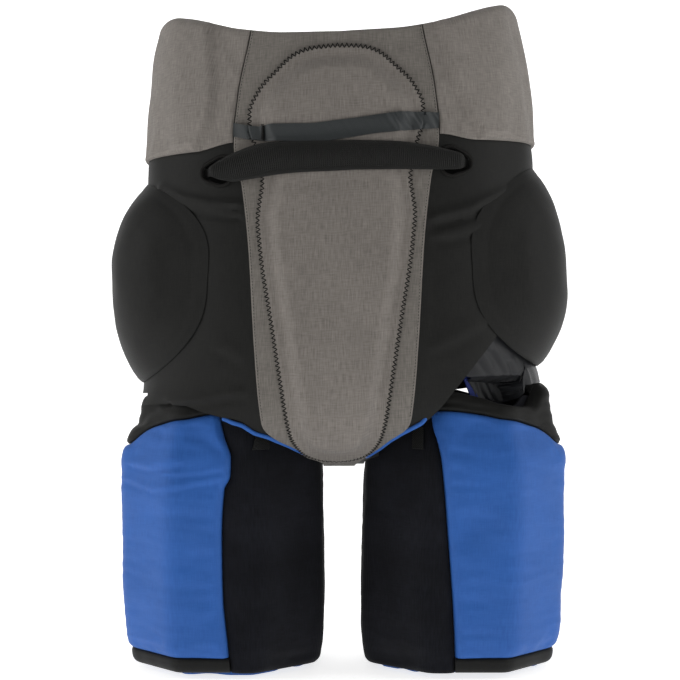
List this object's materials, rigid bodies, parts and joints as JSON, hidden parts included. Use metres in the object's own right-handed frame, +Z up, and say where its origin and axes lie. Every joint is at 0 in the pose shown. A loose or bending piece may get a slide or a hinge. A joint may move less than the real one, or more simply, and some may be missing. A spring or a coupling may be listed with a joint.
{
  "type": "padded hip and thigh shorts",
  "caption": "Worn padded shorts: a stretch brief with a padded waistband, centre pad, domed hip pads, a webbing belt and two padded leg tubes.",
  "frame": {"origin": "middle of the hollow at the height of the belt, where the wearer's waist carries the shorts", "axes": "+Z up along the body, -Y towards the side with the long centre pad, +X to the right as that side is looked at"},
  "size_m": [0.4016, 0.2433, 0.5635],
  "materials": {
    "black_stretch": "matte black stretch knit with a faint sheen",
    "black_knit": "matte black knit",
    "grey_stretch": "warm grey melange stretch knit",
    "blue_stretch": "royal blue stretch knit over foam",
    "webbing": "black ribbed webbing",
    "tape": "slate coated tape",
    "black_thread": "black stitching and binding",
    "satin_lining": "black satin lining"
  },
  "bodies": {
    "root": {"brief_shell": "black_stretch", "waist_pad_left": "grey_stretch", "waist_pad_right": "grey_stretch", "waist_panel_back": "grey_stretch", "centre_panel": "grey_stretch", "centre_pad": "grey_stretch", "hip_pad_left": "black_stretch", "hip_pad_right": "black_stretch", "slot_rim_left": "black_thread", "slot_rim_right": "black_thread", "belt_webbing": "webbing", "waist_tape": "tape", "tape_tab": "tape", "side_gusset_right": "satin_lining", "leg_piping_left": "blue_stretch", "leg_piping_right": "blue_stretch", "leg_sleeve_left": "black_stretch", "leg_sleeve_right": "black_stretch", "thigh_pad_outer_left": "blue_stretch", "thigh_pad_outer_right": "blue_stretch", "thigh_pad_inner_left": "black_knit", "thigh_pad_inner_right": "black_knit", "thigh_yoke_left": "black_stretch", "thigh_yoke_right": "black_stretch", "hem_band_left": "black_stretch", "hem_band_right": "black_stretch", "hem_strap_left": "blue_stretch", "hem_strap_right": "blue_stretch", "leg_tab_left": "black_stretch", "leg_tab_right": "black_stretch"}
  },
  "joints": []
}
